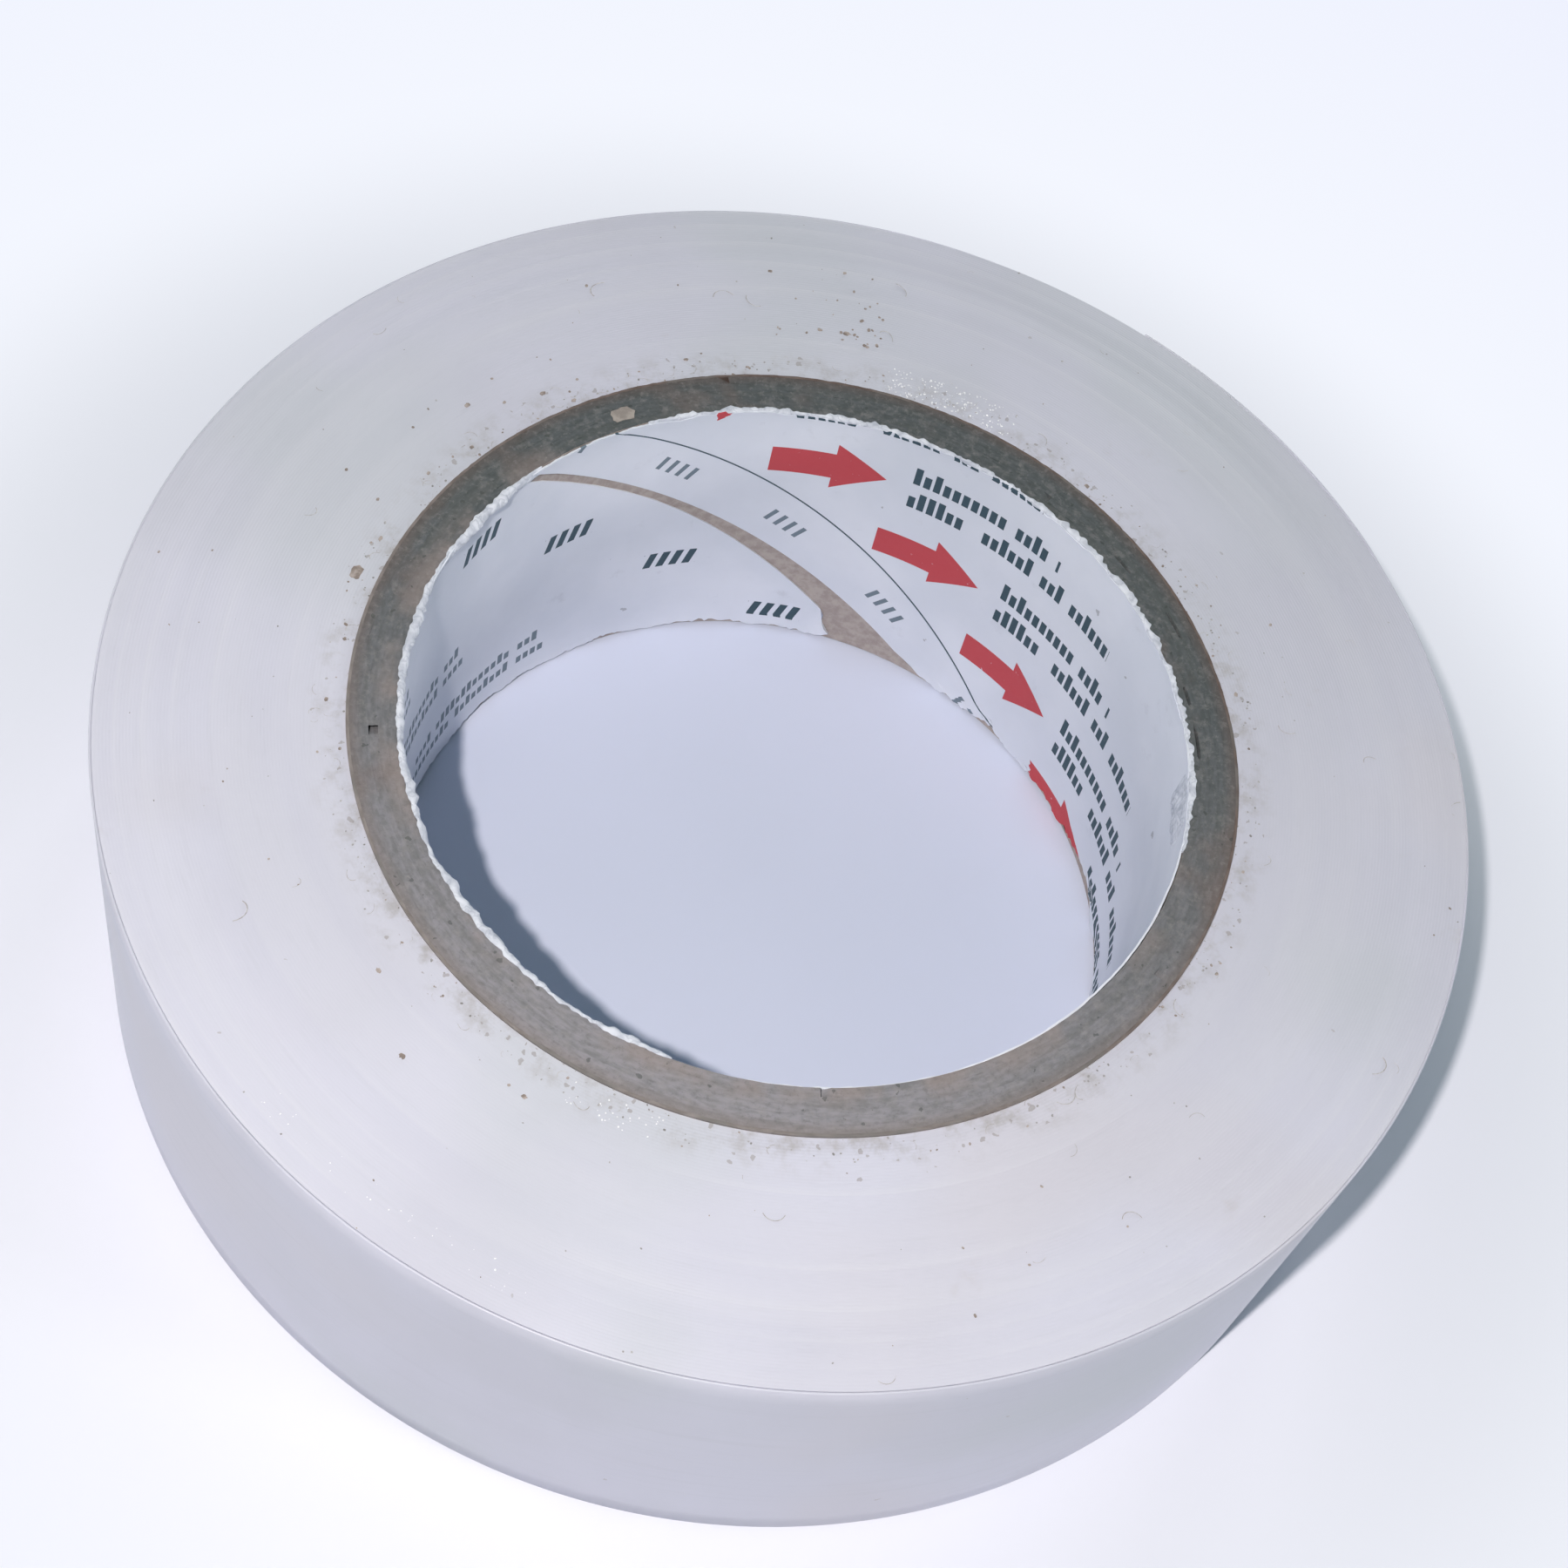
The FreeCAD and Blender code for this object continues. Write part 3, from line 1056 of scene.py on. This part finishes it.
def build_chips(bands, speck, pale_chip):
    """A pale chip on the board and the larger specks on the vinyl."""
    board_chip = (20.04 * MM, radians(131.1), 1.25 * MM, 0.85 * MM, TOP - 0.018 * MM, 0.06 * MM)
    chips("board_chip", [board_chip], pale_chip)
    entries = []
    for radius, angle, size in LARGE_SPECKS:
        surface_top = next(top for _, outer, top in bands if radius * MM <= outer)
        height = surface_top + 0.02 * MM
        entries.append((radius * MM, radians(angle), size * MM, 0.7 * size * MM, height, SPECK_THICKNESS))
    chips("large_specks", entries, speck)


def scatter_tree(name, make_instance):
    """Strews copies of a small shape over a stretch of a ring."""
    numbers = ("Inner Radius", "Outer Radius", "Start Angle", "Stop Angle", "Height", "Small", "Large")
    tree, g, given, end = new_geometry_tree(name, numbers, ("Count", "Seed"))

    def random_between(low, high, step):
        made = g.node("FunctionNodeRandomValue", {"Seed": given["Seed"] + float(step)}, data_type="FLOAT")
        for socket, value in zip((s for s in made.inputs if s.type == "VALUE"), (low, high)):
            g.feed(socket, value)
        return Wire(g, next(s for s in made.outputs if s.type == "VALUE"))

    line = g.wire("GeometryNodeMeshLine", {"Count": given["Count"]})
    angle = random_between(given["Start Angle"], given["Stop Angle"], 1)
    radius = random_between(given["Inner Radius"], given["Outer Radius"], 2)
    position = g.combine(radius * angle.math("COSINE"), radius * angle.math("SINE"), given["Height"])
    size = random_between(given["Small"], given["Large"], 3)
    stretched = size * random_between(0.6, 1.5, 4)
    copies = {
        "Points": g.wire("GeometryNodeSetPosition", {"Geometry": line, "Position": position}),
        "Instance": make_instance(g),
        "Rotation": g.combine(0.0, 0.0, random_between(0.0, TURN, 5)),
        "Scale": g.combine(size, stretched, size),
    }
    end_tree(g, given, end, g.wire("GeometryNodeInstanceOnPoints", copies))
    return tree


def crumb_instance(g):
    """A flattened crumb one unit across."""
    ball = g.wire("GeometryNodeMeshIcoSphere", {"Radius": 0.5, "Subdivisions": 2})
    place = g.wire("GeometryNodeInputPosition")
    grown = g.scaled(place, (g.noise(place, 2.2, 2.0) - 0.5) * 0.9)
    lumpy = g.wire("GeometryNodeSetPosition", {"Geometry": ball, "Offset": grown})
    return g.wire("GeometryNodeTransform", {"Geometry": lumpy, "Scale": (1.0, 1.0, 0.3)})


def hair_instance(g):
    """A curved fibre about one unit long."""
    arc = g.wire("GeometryNodeCurveArc", {"Resolution": 9, "Radius": 0.55, "Sweep Angle": 2.2})
    ring = g.wire("GeometryNodeCurvePrimitiveCircle", {"Resolution": 4, "Radius": 0.018})
    return g.wire("GeometryNodeCurveToMesh", {"Curve": arc, "Profile Curve": ring, "Fill Caps": True})


def strew(name, tree, calls, material):
    """Runs a scatter tree once for each call and joins the results into one piece."""
    shell = bmesh.new()
    for number, call in enumerate(calls):
        part = grow(f"{name}_{number}", tree, {**call, "Material": material})
        shell.from_mesh(part.data)
        bpy.data.objects.remove(part)
    mesh = bpy.data.meshes.new(name)
    shell.to_mesh(mesh)
    shell.free()
    piece = add_object(name, mesh)
    finish_mesh(piece, material)
    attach(piece, "roll")


def area_call(count, inner, outer, height, small, large, seed, start=0, stop=360):
    """What a scatter tree needs for one area, with its angles in degrees and its sizes in millimetres."""
    return {
        "Count": count,
        "Inner Radius": inner,
        "Outer Radius": outer,
        "Start Angle": radians(start),
        "Stop Angle": radians(stop),
        "Height": height,
        "Small": small * MM,
        "Large": large * MM,
        "Seed": seed,
    }


def build_dust(bands, crumb_brown, crumb_grey, hair, glint):
    """Crumbs and fibres stuck to the vinyl's edge, and bright beads of squeezed adhesive, whose near-white
    colour is partly a painted glint.

    Most of it lies near the core. The rest is strewn over each band in the share that its area has.
    """
    crumbs = scatter_tree("strewn_crumbs", crumb_instance)
    hairs = scatter_tree("strewn_fibres", hair_instance)
    first, second, _, _, fifth, _ = bands
    near, _, top = first
    brown = [area_call(70, near, near + 1.5 * MM, top, 0.04, 0.16, seed=5)]
    grey = [area_call(260, near, near + 1.2 * MM, top, 0.03, 0.12, seed=6)]
    fibres = [area_call(60, near, near + 1.5 * MM, top, 0.25, 0.7, seed=7)]
    beads = [
        area_call(190, near + 0.25 * MM, near + 2.1 * MM, top, 0.04, 0.11, seed=51, start=74, stop=92),
        area_call(34, near + 0.4 * MM, near + 1.7 * MM, top, 0.04, 0.10, seed=52, start=-104, stop=-92),
        area_call(36, *fifth, 0.03, 0.09, seed=53, start=-124, stop=-96),
    ]
    for number, band in enumerate(bands):
        inner, outer, _ = band
        share = (outer ** 2 - inner ** 2) / (WINDING_RADIUS ** 2 - CORE_RADIUS ** 2)
        brown.append(area_call(round(60 * share), *band, 0.05, 0.17, seed=20 + number))
        grey.append(area_call(round(90 * share), *band, 0.03, 0.10, seed=30 + number))
        fibres.append(area_call(round(44 * share), *band, 0.35, 1.1, seed=40 + number))
    brown.append(area_call(36, *second, 0.06, 0.2, seed=61, start=93, stop=107))
    strew("dust_crumbs_brown", crumbs, brown, crumb_brown)
    strew("dust_crumbs_grey", crumbs, grey, crumb_grey)
    strew("dust_fibres", hairs, fibres, hair)
    strew("adhesive_beads", crumbs, beads, glint)


# ---- stage


def seen_rays(g):
    """1 for rays that look at the background straight, in a gloss or through a clear piece."""
    path = g.wires(g.node("ShaderNodeLightPath"))
    straight = path["Is Camera Ray"].math("MAXIMUM", path["Is Glossy Ray"])
    return straight.math("MAXIMUM", path["Is Transmission Ray"])


def build_floor():
    """A pale floor with painted shade under the roll, and plain white where nothing stands on it."""
    half = 1.5
    mesh = bpy.data.meshes.new("floor")
    corners = [(-half, -half, 0), (half, -half, 0), (half, half, 0), (-half, half, 0)]
    mesh.from_pydata(corners, [], [(0, 1, 2, 3)])
    floor = add_object("floor", mesh)
    material, g, shader, place = new_material("pale_floor")
    x, y, _ = g.split(place)
    radius = g.vector_math("LENGTH", g.combine(x, y, 0.0))
    # Painted shade: the floor is darker under the roll and inside its bore.
    shade_under_roll = g.mix_color(g.noise(place, 40.0, 2.0), (199, 205, 222), (208, 213, 232))
    tone = g.mix_color(g.smooth(radius, CORE_RADIUS, CORE_RADIUS + 8 * MM), shade_under_roll, (232, 233, 243))
    surface(g, shader, tone, 0.9, 0.1)
    white = g.mix_color(g.smooth(radius, 45 * MM, 130 * MM), (244, 247, 255), (237, 240, 254))
    glow = g.wire("ShaderNodeEmission", {"Color": white, "Strength": 1.0})
    plain = seen_rays(g) * g.smooth(radius, 35 * MM, 62 * MM)
    blend = g.wire("ShaderNodeMixShader", {0: plain, 1: Wire(g, shader.outputs[0]), 2: glow})
    output = next(n for n in material.node_tree.nodes if n.type == "OUTPUT_MATERIAL")
    g.feed(output.inputs["Surface"], blend)
    mesh.materials.append(material)


def area_lamp(name, place, size, watts, color):
    """A round lamp that points at the middle of the roll."""
    data = bpy.data.lights.new(name, "AREA")
    data.shape = "DISK"
    data.size = size
    data.energy = watts
    data.color = color
    lamp = add_object(name, data)
    lamp.visible_camera = False
    lamp.location = place
    middle = Vector((0.0, 0.0, TOP / 2))
    lamp.rotation_euler = (middle - Vector(place)).to_track_quat("-Z", "Y").to_euler()


def build_lights():
    """A small hard lamp near the camera, and three weak low ones for the sides."""
    soft_white = (1.0, 0.97, 0.97)
    warm_white = (1.0, 0.935, 0.90)
    near_camera = (-20.8 * MM, -89 * MM, 160 * MM)
    area_lamp("key_lamp", near_camera, size=4.5 * MM, watts=0.285, color=warm_white)
    area_lamp("low_fill_back", (0.15, 0.87, 0.12), size=0.22, watts=3.3, color=soft_white)
    area_lamp("low_fill_left", (-0.85, 0.2, 0.12), size=0.22, watts=1.5, color=soft_white)
    area_lamp("low_fill_right", (0.84, -0.1, 0.22), size=0.2, watts=1.75, color=soft_white)


def build_world():
    """A dim, cool room that looks white behind the roll."""
    world = bpy.data.worlds.new("pale_room")
    world.use_nodes = True
    world.node_tree.nodes.clear()
    g = Graph(world.node_tree)
    room = g.wire("ShaderNodeBackground", {"Color": (0.42, 0.94, 0.98, 1.0), "Strength": 0.125})
    white = g.wire("ShaderNodeBackground", {"Color": rgb(240, 243, 255), "Strength": 1.0})
    blend = g.wire("ShaderNodeMixShader", {0: seen_rays(g), 1: room, 2: white})
    g.feed(g.node("ShaderNodeOutputWorld").inputs["Surface"], blend)
    bpy.context.scene.world = world


AIM = Vector((0.0, -3.7 * MM, TOP))
DISTANCE = 124.4 * MM
ELEVATION = radians(56.92)
ROLL = radians(16.3)
LENS = 60.83
SENSOR = 36.0


def build_camera():
    """Looks down at the roll from the -Y side, tilted about its own line of sight."""
    data = bpy.data.cameras.new("camera")
    data.lens = LENS
    data.sensor_width = SENSOR
    data.clip_start = 5 * MM
    camera = add_object("camera", data)
    camera.location = AIM + Vector((0.0, -cos(ELEVATION), sin(ELEVATION))) * DISTANCE
    level = Euler((pi / 2 - ELEVATION, 0.0, 0.0)).to_matrix()
    camera.rotation_euler = (level @ Euler((0.0, 0.0, ROLL)).to_matrix()).to_euler()
    bpy.context.scene.camera = camera


# ---- build


def main():
    bpy.context.scene.view_settings.view_transform = "Standard"
    pale_chip = plain_material("pale_board_chip", (142, 134, 129), (166, 157, 151), scale=2400.0)
    crumb_brown = plain_material("brown_crumbs", (132, 121, 115), (174, 163, 158), scale=3000.0)
    crumb_grey = plain_material("grey_crumbs", (134, 132, 132), (180, 178, 180), scale=3000.0)
    hair = plain_material("dust_fibre", (158, 152, 150), (192, 190, 190), scale=5000.0, roughness=0.7)
    bright = {"roughness": 0.12, "strength": 0.2, "specular": 0.9}
    # The beads are real, but their near-white colour is partly a painted highlight for their glints.
    glint = plain_material("beads_with_painted_glint", (228, 228, 234), (252, 252, 255), scale=5000.0, **bright)

    build_liner(liner_material())
    board_outer = build_board(board_material())
    build_cover_paper(cover_paper_material(), board_outer)
    bands = build_winding(vinyl_edge_material())
    build_last_turn(vinyl_face_material())
    build_torn_edges(pulp_material())
    build_chips(bands, crumb_brown, pale_chip)
    build_dust(bands, crumb_brown, crumb_grey, hair, glint)
    build_floor()
    build_lights()
    build_world()
    build_camera()


main()
